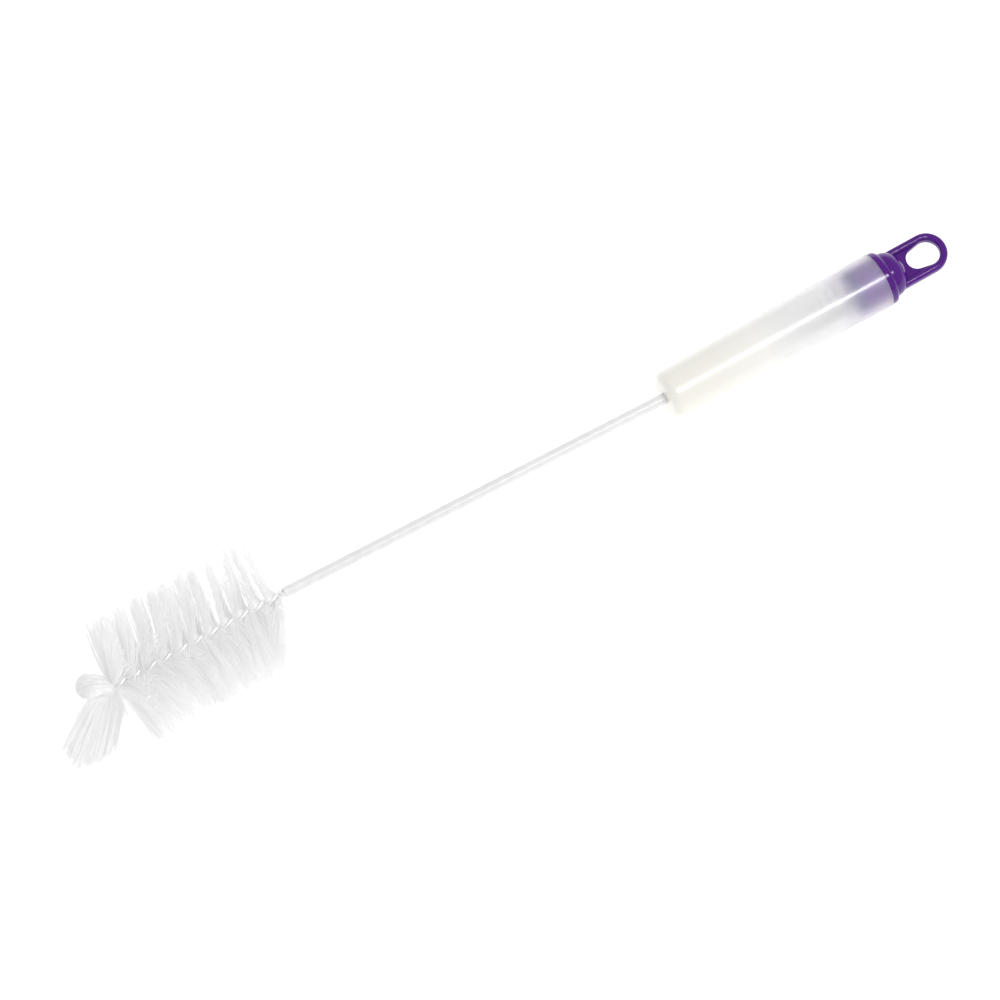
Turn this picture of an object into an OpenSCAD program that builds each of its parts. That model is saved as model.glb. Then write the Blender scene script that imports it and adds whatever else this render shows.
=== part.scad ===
// Bottle brush on a twisted wire, with a small conical brush stored in its handle.
// The parts are drawn along the X axis: x = 0 is the stem end of the handle, the
// head is at -X and the hanging loop at +X. on_handle() and on_head() then give the wire
// its slight bends, and lie_down() lays the whole brush on the floor z = 0, where it
// rests on the bristles of the head and the mouth of the handle.

/* [Stem wire] */
// Diameter of the stem wire
wire_d = 1.4; // [1.2:0.1:1.6]
// Space that the bristles keep open between the two strands
strand_gap = 0.5; // [0.4:0.05:0.7]
// Length of one full twist of the stem wire
twist_pitch = 13; // [11:0.5:16]
// Radius of the eye at the tip, to the middle of the wire
eye_r = 2.4; // [2.2:0.1:3]
// Plastic between the wire's end and the hollow of the handle
wire_cover = 1.5; // [1:0.5:4]
// Bend of the wire where it enters the head, in degrees
head_turn = 1.8; // [-4:0.2:4]
// Bend of the wire where it enters the handle, in degrees
handle_turn = 1.8; // [-4:0.2:4]

/* [Head] */
// Diameter over the bristles
head_d = 50; // [40:1:70]
// Length of wire that carries bristles
head_l = 71.5; // [40:0.5:110]
// Thickness of a row of bristles at its tips
row_t = 3; // [1.4:0.1:3.4]
// Lean of the bristles towards the handle on one side of the head, in degrees
lean_up = 13; // [0:1:16]
// Lean of the bristles towards the tip on its other side, at the sleeve, in degrees
lean_down = 25; // [0:1:30]
// Flattening of the bristles where the brush lies on them
floor_press = 1.5; // [0.8:0.1:2.5]
// Length of the end tuft above the eye
tuft_up_l = 17; // [12:1:24]
// Length of the end tuft below the eye
tuft_down_l = 24; // [16:1:26]
// Width of the fan that the lower half of the end tuft spreads into
tuft_fan_w = 19; // [10:1:24]
// Thickness of the fan at its ends
tuft_fan_t = 4.4; // [3:0.2:7]
// Thickness of the upper half of the end tuft on its way to its round end
tuft_stalk_d = 7; // [5:0.2:8]
// Diameter of the round end of the upper half
tuft_ball_d = 10; // [8:0.2:12]

/* [Stem sleeve] */
// Length of the sleeve between the head and the handle
stem_l = 162; // [100:1:260]
// Wall of the sleeve
sleeve_t = 0.44; // [0.3:0.02:0.8]
// Length of the sleeve inside the handle
sleeve_grip = 10; // [6:1:13]

/* [Handle] */
// Length of the handle tube
handle_l = 94.5; // [80:0.5:130]
// Diameter of the handle at the stem
handle_stem_d = 19.4; // [18:0.1:21]
// Diameter of the handle at the cap
handle_cap_d = 21.8; // [21:0.1:24]
// Wall of the handle tube
handle_wall = 1.6; // [1.2:0.1:2]
// Length of the solid end that holds the wire
solid_l = 25.5; // [18:0.5:40]
// Rounding of the edge at the stem end
handle_edge_r = 3.2; // [1:0.1:4]

/* [Cap] */
// Depth of the plug in the handle
plug_l = 12; // [8:1:18]
// Thickness of the flange
flange_t = 3.5; // [3:0.1:5]
// How far the flange stands in from the handle's side
flange_inset = 0.2; // [0:0.1:0.8]
// Rounding of the flange towards the dome
flange_edge_r = 2; // [0.8:0.1:2.4]
// Largest diameter of the dome
dome_d = 17.9; // [17:0.1:18.6]
// Height of the dome above the flange
dome_h = 7.6; // [7:0.1:9]
// Radius of the dome's top
dome_top_r = 10.6; // [10:0.1:14]
// Radius of the dome's shoulder
dome_edge_r = 6; // [5:0.1:7]

/* [Hanging loop] */
// Distance from the handle to the far end of the loop
loop_reach = 29.5; // [27:0.5:38]
// How far the sides of the loop stand in from the dome's side
loop_inset = 0.9; // [0.4:0.1:1.4]
// Width of the loop's bar
bar_w = 3; // [2.4:0.1:3.4]
// Thickness of the loop's bar
bar_t = 4.5; // [3.6:0.1:6]
// Length of the web between the dome and the hole
web_l = 1.8; // [0.8:0.1:4]
// Radius of the hole's end at the dome
hole_end_r = 4.2; // [3:0.1:4.4]
// Thickness of the web between the dome and the hole
web_t = 2; // [1.2:0.1:3]

/* [Small brush] */
// Diameter of the small brush's wire
small_wire_d = 0.7; // [0.5:0.05:0.9]
// Space that the bristles keep open between its strands
small_gap = 0.34; // [0.3:0.02:0.4]
// Length of one full twist of its wire
small_pitch = 7.6; // [6:0.2:10]
// Space between the small brush's tip and the bottom of the handle's hollow
small_tip_gap = 1.5; // [1:0.5:20]
// Diameter over its bristles at the plug
small_d = 14.6; // [10:0.2:15]
// Diameter over its bristles at the tip
small_tip_d = 7; // [4:0.2:10]
// Bare length of its wire at the plug
small_bare_l = 2; // [1:0.5:6]
// Depth of its wire in the plug
small_grip = 9; // [5:0.5:12]
// Thickness of a row of its bristles at the tips
small_row_t = 1.3; // [0.8:0.1:1.8]

/* [Clearances] */
// Radial clearance of the plug in the handle
plug_fit = 0.06; // [0.03:0.01:0.1]
// Radial clearance of wires and sleeve in their sockets
socket_fit = 0.06; // [0.03:0.01:0.1]
// Space left at the bottom of a socket
socket_gap = 0.5; // [0.4:0.05:0.8]
// Clearance between the strands and the bristles that they clamp
clamp_fit = 0.1; // [0.08:0.01:0.12]
// Clearance of the end tuft in the wire's eye
tuft_fit = 0.15; // [0.1:0.01:0.3]

/* [Hidden] */

$fn = 96;
strand_sides = 8;           // faces around a strand
strand_steps = 10;          // stations for each turn of a strand
row_steps = 40;             // stations for each turn of the head's bristle rows
small_row_steps = 20;       // the same on the small brush
tuft_sides = 16;            // faces around the end tuft
ragged = 0.05;              // how far single tufts fall short, as a share of the radius
untwist_l = 2;              // the twist begins over this length behind an eye
end_gap = 0.5;              // bare wire between the last bristles and the sleeve
row_foot_share = 0.2;       // part of the radius over which a row opens out of its clamp
floor_skin = 0.12;          // the flattened tips stop this far above the floor
eye_bend = 130;             // angle of the round part of an eye, each way from its tip
eye_neck = 0.6;             // length of the straight part, in heights of the round part
eye_steps = 12;             // stations around an eye
row_lead = 0.2;             // the bristle rows begin this far inside the eye's neck
lean_side = 16;             // angle round the wire of the side that leans to the handle
lean_ease = 0.1;            // share of the head, at the sleeve, that halves this lean

// Twisted strands and what is fitted round them
strand_r = (wire_d + strand_gap) / 2;
twist_d = 2 * wire_d + strand_gap;
sleeve_d = twist_d + 2 * (socket_fit + sleeve_t);
wire_grip = solid_l - wire_cover;
small_strand_r = (small_wire_d + small_gap) / 2;
small_twist_d = 2 * small_wire_d + small_gap;
small_eye_r = small_strand_r + small_wire_d / 2;

// Places along X
head_x1 = -stem_l - end_gap;
head_x0 = head_x1 - head_l;
plug_x = handle_l - plug_l;
dome_x = handle_l + flange_t;
dome_top_x = dome_x + dome_h;
flange_d = handle_cap_d - 2 * flange_inset;
loop_w = dome_d - 2 * loop_inset;
bar_r = (loop_w - bar_w) / 2;
loop_x = handle_l + loop_reach - loop_w / 2;
small_root_x = plug_x - small_bare_l;
small_tip_x = solid_l + small_tip_gap + eye_reach(small_eye_r, small_wire_d);

// Handle and cap
function handle_r(x) = (handle_stem_d + (handle_cap_d - handle_stem_d) * x / handle_l) / 2;
mouth_r = handle_cap_d / 2 - handle_wall;
mouth_l = plug_l + 1;
plug_r = mouth_r - plug_fit;
plug_edge = 0.8;            // chamfer that leads the plug into the handle
bar_root = 1.4;             // the loop's bars start in the dome, this far off the flange

// Resting position: the slope of the axis and its height over the floor at x = 0
head_r = head_d / 2;
slope = atan((head_r - floor_press - handle_cap_d / 2) / (handle_l - head_x1));
lift = handle_l * cos(handle_turn) * sin(slope) + handle_cap_d / 2 * cos(slope);

// ---- Twisted wires ----

function unit(v) = v / norm(v);
function radial(a) = [0, cos(a), sin(a)];

// Length of an eye from its outer tip to the point where the strands are side by side
function eye_reach(r, d) = r + d / 2 + r * (1 + sin(eye_bend)) * eye_neck;

// Left-handed twist: angle of the first strand at a distance u behind the eye
function twist(u, pitch) =
    -360 / pitch * (u < 0 ? 0 : u < untwist_l ? u * u / untwist_l / 2 : u - untwist_l / 2);

// Middle line of one strand from x0 to x1
function strand(x0, x1, r, pitch, a0) =
    let (n = ceil((x1 - x0) / pitch * strand_steps))
    [for (i = [0 : n])
        let (u = (x1 - x0) * i / n)
        [x0 + u, 0, 0] + r * radial(a0 + twist(u, pitch))];

// Middle line of the eye, from one strand round the tip to the other
function eye(x0, r, d, a0) =
    let (xc = x0 + r + d / 2 - eye_reach(r, d))
    [for (i = [0 : eye_steps])
        let (a = eye_bend * (1 - 2 * i / eye_steps))
        [xc - r * cos(a), 0, 0] + r * sin(a) * radial(a0)];

function reversed(list) = [for (i = [len(list) - 1 : -1 : 0]) list[i]];

// A folded wire: in along one strand, round the eye and back along the other
function folded_wire(x0, x1, strand_r, eye_r, d, pitch, a0) =
    concat(reversed(strand(x0, x1, strand_r, pitch, a0)),
           eye(x0, eye_r, d, a0),
           strand(x0, x1, strand_r, pitch, a0 + 180));

// Rings of a round bar of diameter d along a middle line that is never parallel to side
function bar_rings(line, d, side) =
    let (n = len(line) - 1)
    [for (i = [0 : n])
        let (t = unit(line[min(i + 1, n)] - line[max(i - 1, 0)]),
             m = unit(cross(side, t)),
             b = cross(t, m))
        [for (j = [0 : strand_sides - 1])
            let (a = 360 * j / strand_sides)
            line[i] + d / 2 * (cos(a) * m + sin(a) * b)]];

// Closed skin over rings that all have the same even number of points
module skin(rings) {
    n = len(rings);
    k = len(rings[0]);
    last = (n - 1) * k;
    polyhedron(
        points = [for (r = rings) each r],
        faces = concat(
            [for (i = [0 : n - 2], j = [0 : k - 1])
                let (a = i * k + j, b = i * k + (j + 1) % k)
                each [[a, a + k, b], [b, a + k, b + k]]],
            [for (j = [0 : k / 2 - 2])
                each [[j, j + 1, k - 2 - j], [j, k - 2 - j, k - 1 - j]]],
            [for (j = [0 : k / 2 - 2])
                each [[last + j, last + k - 2 - j, last + j + 1],
                      [last + j, last + k - 1 - j, last + k - 2 - j]]]));
}

// ---- Bristles ----

// One ring of a bristle row that crosses the wire at x: along its one face, then back
// along the other. reach is [radius on the + side, radius on the - side], lean the lean
// of either side, clamp the half thickness between the strands and tip the half
// thickness at the tips.
function row_ring(x, a, reach, lean, core, clamp, tip, pitch) =
    let (foot = [for (r = reach) core + (r - core) * row_foot_share],
         rs = [reach[0], foot[0], core, -core, -foot[1], -reach[1]],
         ts = [for (i = [0 : 5]) i < 3 ? tan(lean[0]) : -tan(lean[1])],
         hs = [tip, clamp + (tip - clamp) * row_foot_share, clamp,
               clamp, clamp + (tip - clamp) * row_foot_share, tip],
         k = -2 * PI / pitch,
         face = function (side) [for (i = [0 : 5])
             [x + (rs[i] - sign(rs[i]) * core) * ts[i], 0, 0]
             + rs[i] * radial(a)
             + side * hs[i] * unit([rs[i] * k, sin(a) - ts[i] * rs[i] * k * cos(a),
                                    -cos(a) - ts[i] * rs[i] * k * sin(a)])])
    concat(face(-1), reversed(face(1)));

// Lean towards the handle of a bristle that leaves the axis at x in direction a
function row_lean(x, a) =
    let (s = (x - head_x0) / head_l,
         share = (1 + cos(a - lean_side)) / 2)
    share * lean_up * min(1, (1 + (1 - s) / lean_ease) / 2)
    - (1 - share) * lean_down * sin(90 * max(0, s));

// Where a bristle of length r that leaves the axis at x in direction a meets the floor.
// A row that leans has the lower edge of its tips under their middle
function over_floor(x, a, r) =
    let (t = tan(row_lean(x, a)),
         down = t * sin(slope) - sin(a) * cos(slope),
         edge = row_t / 2 * abs(t))
    down <= 0 ? r : min(r, (lift - x * sin(slope) - floor_skin - edge) / down);

head_n = ceil((head_l + row_lead) / twist_pitch * row_steps);
head_short = rands(0, ragged, 2 * head_n + 2, 7);
eye_angle = -34;
head_rings = [for (i = [0 : head_n])
    let (x = head_x1 - (head_l + row_lead) * (1 - i / head_n),
         a = eye_angle + 90 + twist(x - head_x0, twist_pitch),
         full = [for (s = [0, 1]) head_r * (1 - head_short[2 * i + s])])
    row_ring(x, a, [over_floor(x, a, full[0]), over_floor(x, a + 180, full[1])],
             [row_lean(x, a), row_lean(x, a + 180)],
             wire_d / 2, strand_gap / 2 - clamp_fit, row_t / 2, twist_pitch)];

small_span = small_root_x - small_tip_x;
small_n = ceil(small_span / small_pitch * small_row_steps);
small_short = rands(0, ragged, small_n + 1, 11);
small_rings = [for (i = [0 : small_n])
    let (x = small_tip_x + small_span * i / small_n,
         a = 90 + twist(x - small_tip_x, small_pitch),
         r = (small_tip_d + (small_d - small_tip_d) * i / small_n) / 2 * (1 - small_short[i]))
    row_ring(x, a, [r, r], [0, 0], small_wire_d / 2, small_gap / 2 - clamp_fit, small_row_t / 2,
             small_pitch)];

// ---- End tuft ----

// The bundle goes through the eye square to it. Above it stays a compact bundle and
// leans forward, below it spreads into a flat fan.
tuft_neck_d = 2 * (eye_r - wire_d / 2 - tuft_fit);
tuft_c = [head_x0 + eye_r + wire_d / 2 - eye_reach(eye_r, wire_d), 0, 0];
tuft_axis = radial(eye_angle + 90);
tuft_up = unit([-0.60, 0.16, 0.78]);
tuft_down = unit([-0.66, -0.54, -0.48]);
fan_side = unit([0.82, -0.57, -0.04]);
tuft_steps = 6;             // rings along each half
bow = 0.25;                 // share of each half that leaves the eye straight

// Middle line of one half: out of the eye along dir, then bent towards aim
function tuft_line(dir, aim, l, t) =
    tuft_c + dir * wire_d / 2 + 2 * t * (1 - t) * bow * l * dir + t * t * l * aim;

// A ring lies square to d, or with slant 1 along fan_side
function tuft_ring(c, d, w, h, slant = 0) =
    let (b = unit(cross(d, fan_side)), m = cross(b, d) + slant * (fan_side * d) * d)
    [for (j = [0 : tuft_sides - 1])
        let (a = 360 * j / tuft_sides)
        c + w / 2 * cos(a) * m + h / 2 * sin(a) * b];

// Rings from the eye outwards. w, h and slant give the ring's measures at a share t of
// the half
function tuft_half(dir, aim, l, w, h, slant, sign) =
    [for (i = [0 : tuft_steps])
        let (t = i / tuft_steps,
             d = unit(tuft_line(dir, aim, l, t + 0.01) - tuft_line(dir, aim, l, t - 0.01)))
        tuft_ring(tuft_line(dir, aim, l, t), sign * (i == 0 ? dir : d), w(t), h(t), slant(t))];

// Thickness of the bundle at a share t of a half, which the eye narrows to its neck.
// The upper half swells to a stalk and then to a round end
swell = function (w0, w1, t) w0 + (w1 - w0) * sin(90 * t);
bulb_w = function (t) t < 0.5 ? swell(tuft_neck_d, tuft_stalk_d, 2 * t)
                              : swell(tuft_stalk_d, tuft_ball_d, 2 * t - 1);
fan_w = function (t) tuft_neck_d + (tuft_fan_w - tuft_neck_d) * t;
fan_h = function (t) swell(tuft_neck_d, tuft_fan_t, t);

bulb_l = tuft_up_l - tuft_ball_d / 2;
bulb_c = tuft_line(tuft_axis, tuft_up, bulb_l, 1);
tuft_rings = concat(
    [for (a = [80, 55, 30])
        tuft_ring(bulb_c + tuft_up * tuft_ball_d / 2 * sin(a), -tuft_up,
                  tuft_ball_d * cos(a), tuft_ball_d * cos(a))],
    reversed(tuft_half(tuft_axis, tuft_up, bulb_l, bulb_w, bulb_w, function (t) 0, -1)),
    tuft_half(-tuft_axis, tuft_down, tuft_down_l, fan_w, fan_h, function (t) t, 1));

// ---- The wire's bends and the resting place ----

// A bend turns all that follows it round an upright line through the wire at bend_x
function bent(p, bend_x, turn) =
    let (u = p.x - bend_x)
    [bend_x + u * cos(turn) - p.y * sin(turn), u * sin(turn) + p.y * cos(turn), p.z];
function on_head(p) = bent(p, head_x1, head_turn);
function on_handle(p) = bent(p, 0, handle_turn);

module on_head() {
    translate([head_x1, 0, 0])
        rotate([0, 0, head_turn])
            translate([-head_x1, 0, 0])
                children();
}

module on_handle() {
    rotate([0, 0, handle_turn])
        children();
}

// Laid down, the brush has the middle of its length and width over the origin
far_points = concat([for (r = concat(tuft_rings, head_rings), p = r) on_head(p)],
                    [for (side = [-1, 1]) on_handle([handle_l, side * handle_cap_d / 2, 0])]);
loop_c = on_handle([loop_x, 0, 0]);
low_x = min([for (p = far_points) p.x * cos(slope) + p.z * sin(slope)]);
high_x = (loop_c.x + bar_r) * cos(slope) + bar_w / 2 + (bar_t - bar_w) / 2 * sin(slope);
side_y = [for (p = far_points) p.y];

module lie_down() {
    translate([-(low_x + high_x) / 2, -(min(side_y) + max(side_y)) / 2, lift])
        rotate([0, slope, 0])
            children();
}

// ---- Shapes turned round the X axis ----

// Turns a profile round the X axis: its first coordinate is the radius, its second x
module turn_x() {
    rotate([0, 90, 0])
        rotate_extrude()
            children();
}

module rod_x(x0, x1, r) {
    translate([x0, 0, 0])
        rotate([0, 90, 0])
            cylinder(r = r, h = x1 - x0);
}

// ---- Sub-parts ----

module stem_wire() {
    color("silver")
        skin(bar_rings([for (p = folded_wire(head_x0, wire_grip, strand_r, eye_r, wire_d,
                                             twist_pitch, eye_angle))
                            p.x < head_x1 ? on_head(p) : p],
                       wire_d, radial(eye_angle + 90)));
}

module stem_sleeve() {
    color("whitesmoke")
        difference() {
            rod_x(-stem_l, sleeve_grip, sleeve_d / 2);
            rod_x(-stem_l - 1, sleeve_grip + 1, twist_d / 2 + socket_fit);
        }
}

module head_bristles() {
    color("white")
        on_head()
            skin(head_rings);
}

module end_tuft() {
    color("gainsboro")
        on_head()
            skin(tuft_rings);
}

module handle_profile() {
    inner_r = handle_r(solid_l) - handle_wall;
    step_r = handle_r(handle_l - mouth_l) - handle_wall;
    difference() {
        union() {
            polygon([[0, 0], [handle_r(0) - handle_edge_r, 0], [handle_r(0), handle_edge_r],
                     [handle_r(handle_l), handle_l], [0, handle_l]]);
            translate([handle_r(0) - handle_edge_r, handle_edge_r])
                circle(handle_edge_r);
        }
        polygon([[0, solid_l], [inner_r - handle_wall, solid_l], [inner_r, solid_l + handle_wall],
                 [step_r, handle_l - mouth_l], [0, handle_l - mouth_l]]);
        translate([0, handle_l - mouth_l - 0.01])
            square([mouth_r, mouth_l + 1]);
        translate([-handle_cap_d, -1])
            square([handle_cap_d, handle_l + 2]);
    }
}

// The sockets follow the stem, so they lie at the bend's angle to the handle
module handle_tube() {
    color("ivory")
        difference() {
            on_handle()
                turn_x()
                    handle_profile();
            rod_x(-1, sleeve_grip + socket_gap, sleeve_d / 2 + socket_fit);
            rod_x(0, wire_grip + socket_gap, twist_d / 2 + socket_fit);
        }
}

module cap_profile() {
    edge_c = [flange_d / 2 - flange_edge_r, dome_x - flange_edge_r];
    polygon([[0, plug_x], [plug_r - plug_edge, plug_x], [plug_r, plug_x + plug_edge],
             [plug_r, handle_l + 1], [0, handle_l + 1]]);
    translate([0, handle_l])
        square([flange_d / 2, flange_t - flange_edge_r]);
    translate([0, handle_l])
        square([edge_c.x, flange_t]);
    intersection() {
        translate(edge_c)
            circle(flange_edge_r);
        translate([0, handle_l])
            square([flange_d, flange_t]);
    }
    dome_profile();
}

// A round top that runs into the side of the dome over a rounder shoulder
module dome_profile() {
    top_c = dome_top_x - dome_top_r;
    edge_c = [dome_d / 2 - dome_edge_r,
              top_c + sqrt(pow(dome_top_r - dome_edge_r, 2) - pow(dome_d / 2 - dome_edge_r, 2))];
    meet = [0, top_c] + (edge_c - [0, top_c]) * dome_top_r / (dome_top_r - dome_edge_r);
    polygon([[0, handle_l], [dome_d / 2, handle_l], [dome_d / 2, edge_c.y], meet, [0, meet.y]]);
    intersection() {
        translate(edge_c)
            circle(dome_edge_r);
        translate([0, edge_c.y])
            square([dome_d, dome_h]);
    }
    intersection() {
        translate([0, top_c])
            circle(dome_top_r);
        translate([0, meet.y])
            square([meet.x, dome_h]);
    }
}

// Section of the loop's bar: straight sides with round top and bottom
module bar_section() {
    square([bar_w, bar_t - bar_w], center = true);
    for (side = [-1, 1])
        translate([0, side * (bar_t - bar_w) / 2])
            circle(bar_w / 2);
}

// The egg-shaped hole: two rounds and the tangents that join them
module loop_hole() {
    hole_r = bar_r - bar_w / 2;
    end_x = dome_top_x + web_l + hole_end_r;
    lean = asin((hole_r - hole_end_r) / (loop_x - end_x));
    translate([loop_x, 0])
        circle(hole_r);
    translate([end_x, 0])
        circle(hole_end_r);
    polygon([for (side = [-1, 1], c = side < 0 ? [[end_x, hole_end_r], [loop_x, hole_r]]
                                               : [[loop_x, hole_r], [end_x, hole_end_r]])
        [c[0] - c[1] * sin(lean), side * c[1] * cos(lean)]]);
}

module loop() {
    bar_x0 = dome_x + bar_root;
    translate([loop_x, 0, 0])
        rotate([0, 0, -90])
            rotate_extrude(angle = 180)
                translate([bar_r, 0])
                    bar_section();
    for (side = [-1, 1])
        translate([bar_x0, side * bar_r, 0])
            rotate([90, 0, 90])
                linear_extrude(loop_x - bar_x0)
                    bar_section();
    difference() {
        translate([bar_x0, -bar_r, -web_t / 2])
            cube([loop_x - bar_x0, 2 * bar_r, web_t]);
        translate([0, 0, -web_t])
            linear_extrude(2 * web_t)
                loop_hole();
    }
}

module cap() {
    color("indigo")
        on_handle()
            difference() {
                union() {
                    turn_x()
                        cap_profile();
                    loop();
                }
                rod_x(plug_x - 1, plug_x + small_grip + socket_gap,
                      small_twist_d / 2 + socket_fit);
            }
}

module small_brush_wire() {
    color("silver")
        on_handle()
            skin(bar_rings(folded_wire(small_tip_x, plug_x + small_grip, small_strand_r,
                                       small_eye_r, small_wire_d, small_pitch, 0),
                           small_wire_d, radial(90)));
}

module small_brush_bristles() {
    color("white")
        on_handle()
            skin(small_rings);
}

lie_down() stem_wire();
lie_down() stem_sleeve();
lie_down() head_bristles();
lie_down() end_tuft();
lie_down() handle_tube();
lie_down() cap();
lie_down() small_brush_wire();
lie_down() small_brush_bristles();
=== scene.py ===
import math

import bpy
import numpy as np
from mathutils import Matrix, Vector


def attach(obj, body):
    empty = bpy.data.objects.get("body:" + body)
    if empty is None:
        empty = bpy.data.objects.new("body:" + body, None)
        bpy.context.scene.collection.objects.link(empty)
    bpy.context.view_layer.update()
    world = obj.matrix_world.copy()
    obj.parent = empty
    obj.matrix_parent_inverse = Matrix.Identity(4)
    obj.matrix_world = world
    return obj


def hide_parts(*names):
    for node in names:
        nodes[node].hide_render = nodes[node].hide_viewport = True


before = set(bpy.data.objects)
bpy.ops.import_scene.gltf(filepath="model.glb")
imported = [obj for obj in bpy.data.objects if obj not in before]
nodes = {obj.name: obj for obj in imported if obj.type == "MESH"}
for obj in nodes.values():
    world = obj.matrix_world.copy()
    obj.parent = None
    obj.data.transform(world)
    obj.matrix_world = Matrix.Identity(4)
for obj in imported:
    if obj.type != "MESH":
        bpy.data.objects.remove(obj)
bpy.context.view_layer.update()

mm = 0.001

# The brush is drawn along X in millimetres: x = 0 is where the stem enters the handle, the
# head is at -X and the cap at +X. These values lay it down on the floor.
layDown = {
    "slope": 2.8068063,          # degrees, the handle's mouth lies lower than the stem
    "turn": 1.8,                 # degrees, the wire's bend at the head and at the handle
    "headStart": -162.5,         # where the wire enters the head
    "at": (68.52099, 0.97428, 15.51216),
}


# turn bends the brush sideways at pivot before it is laid down
def placeOnFloor(turn, pivot):
    down = Matrix.Translation(Vector(layDown["at"]) * mm)
    down = down @ Matrix.Rotation(math.radians(layDown["slope"]), 4, "Y")
    there = Matrix.Translation((pivot * mm, 0, 0))
    back = Matrix.Translation((-pivot * mm, 0, 0))
    return down @ there @ Matrix.Rotation(math.radians(turn), 4, "Z") @ back


stemPlace = placeOnFloor(0, 0)
handlePlace = placeOnFloor(layDown["turn"], 0)
headPlace = placeOnFloor(layDown["turn"], layDown["headStart"])


def deselectAll():
    if bpy.context.object and bpy.context.object.mode != "OBJECT":
        bpy.ops.object.mode_set(mode="OBJECT")
    bpy.ops.object.select_all(action="DESELECT")


def pickOnly(obj):
    deselectAll()
    obj.select_set(True)
    bpy.context.view_layer.objects.active = obj


# lays a finished piece down, hands it to its body and hides the parts that it stands for
def carryBy(obj, place, body, slotName, *stoodFor):
    obj.data.transform(place)
    obj.data.update()
    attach(obj, body)
    if stoodFor:
        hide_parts(*stoodFor)


# ---- materials ----

# an sRGB colour such as "#FAFAFA" as the linear one that a shader takes
def toLinear(hexColour):
    parts = [int(hexColour[i:i + 2], 16) / 255 for i in (1, 3, 5)]
    return tuple(c / 12.92 if c <= 0.04045 else ((c + 0.055) / 1.055) ** 2.4 for c in parts) + (1,)


# settings fill inputs or properties; links lead to inputs by name, or by number as i0, i1
def addNode(tree, kind, settings=None, **links):
    node = tree.nodes.new(kind)
    for key, value in (settings or {}).items():
        if key in node.inputs:
            node.inputs[key].default_value = value
        else:
            setattr(node, key, value)
    for key, source in links.items():
        socket = node.inputs[int(key[1:])] if key[0] == "i" and key[1:].isdigit() else node.inputs[key]
        tree.links.new(source, socket)
    return node


def newFinish(name, settings):
    finish = bpy.data.materials.new(name)
    finish.use_nodes = True
    tree = finish.node_tree
    shader = tree.nodes["Principled BSDF"]
    for key, value in settings.items():
        shader.inputs[key].default_value = value
    return finish, tree, shader


def rampOf(tree, fac, stops):
    ramp = addNode(tree, "ShaderNodeValToRGB", i0=fac)
    marks = ramp.color_ramp.elements
    while len(marks) > 1:
        marks.remove(marks[-1])
    marks[0].position, marks[0].color = stops[0]
    for at, colour in stops[1:]:
        marks.new(at).color = colour
    return ramp


def grey(v):
    return (v, v, v, 1)


# drawn nylon filament with a painted glow: a faint white emission that keeps a thick bundle pale at
# its shaded roots, and each hair has a soft shine
def nylonFilament(name, low, high, paintedGlow):
    finish, tree, shader = newFinish(name, {"Roughness": 0.4, "IOR": 1.53, "Emission Strength": paintedGlow})
    shader.inputs["Emission Color"].default_value = (1, 1, 1, 1)
    tone = addNode(tree, "ShaderNodeAttribute", {"attribute_name": "tone"})
    hue = rampOf(tree, tone.outputs["Fac"], [(0, toLinear(low)), (1, toLinear(high))])
    tree.links.new(hue.outputs["Color"], shader.inputs["Base Color"])
    return finish


# bright drawn steel wire, twisted: fine lines along the strand and a soft grey shine
def drawnWire(name):
    finish, tree, shader = newFinish(name, {"Metallic": 1.0})
    where = addNode(tree, "ShaderNodeTexCoord")
    lines = addNode(tree, "ShaderNodeTexNoise", {"Scale": 900, "Detail": 3}, Vector=where.outputs["Object"])
    hue = rampOf(tree, lines.outputs["Fac"], [(0.3, toLinear("#F0F1F3")), (0.7, toLinear("#FEFEFE"))])
    tree.links.new(hue.outputs["Color"], shader.inputs["Base Color"])
    rough = addNode(tree, "ShaderNodeMapRange", {"To Min": 0.34, "To Max": 0.48}, i0=lines.outputs["Fac"])
    tree.links.new(rough.outputs[0], shader.inputs["Roughness"])
    return finish


# dipped nylon coating on the stem: smooth, white, with slight unevenness of the dip
def dippedCoating(name):
    finish, tree, shader = newFinish(name, {"Roughness": 0.3, "IOR": 1.5})
    where = addNode(tree, "ShaderNodeTexCoord")
    cloud = addNode(tree, "ShaderNodeTexNoise", {"Scale": 260, "Detail": 2}, Vector=where.outputs["Object"])
    hue = rampOf(tree, cloud.outputs["Fac"], [(0.3, toLinear("#DEDEDE")), (0.7, toLinear("#E6E6E6"))])
    tree.links.new(hue.outputs["Color"], shader.inputs["Base Color"])
    bump = addNode(tree, "ShaderNodeBump", {"Strength": 0.12, "Distance": 0.0001},
                   Height=cloud.outputs["Fac"])
    tree.links.new(bump.outputs["Normal"], shader.inputs["Normal"])
    return finish


# natural polypropylene, injection moulded: creamy where solid, milky where hollow, and clear
# enough at the mouth that the plug's purple comes through where it touches the wall; there the
# wall also carries painted shade, greyer and lilac
milky = {
    "solid": "#E3E1D9",
    "hollow": "#F9F9F9",
    # painted shade: the wall painted greyer and lilac at the mouth, where the purple plug lies behind it
    "mouth": "#E8E4EC",
    "wander": 3.0,               # mm, how far the edge of the clear part wanders
    # mm from the stem end of the handle, and how clear the wall is there
    "clear": [(24.0, 0.0), (42.0, 0.14), (58.0, 0.55), (80.0, 0.78), (83.5, 0.9), (95.0, 0.9)],
}


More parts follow.
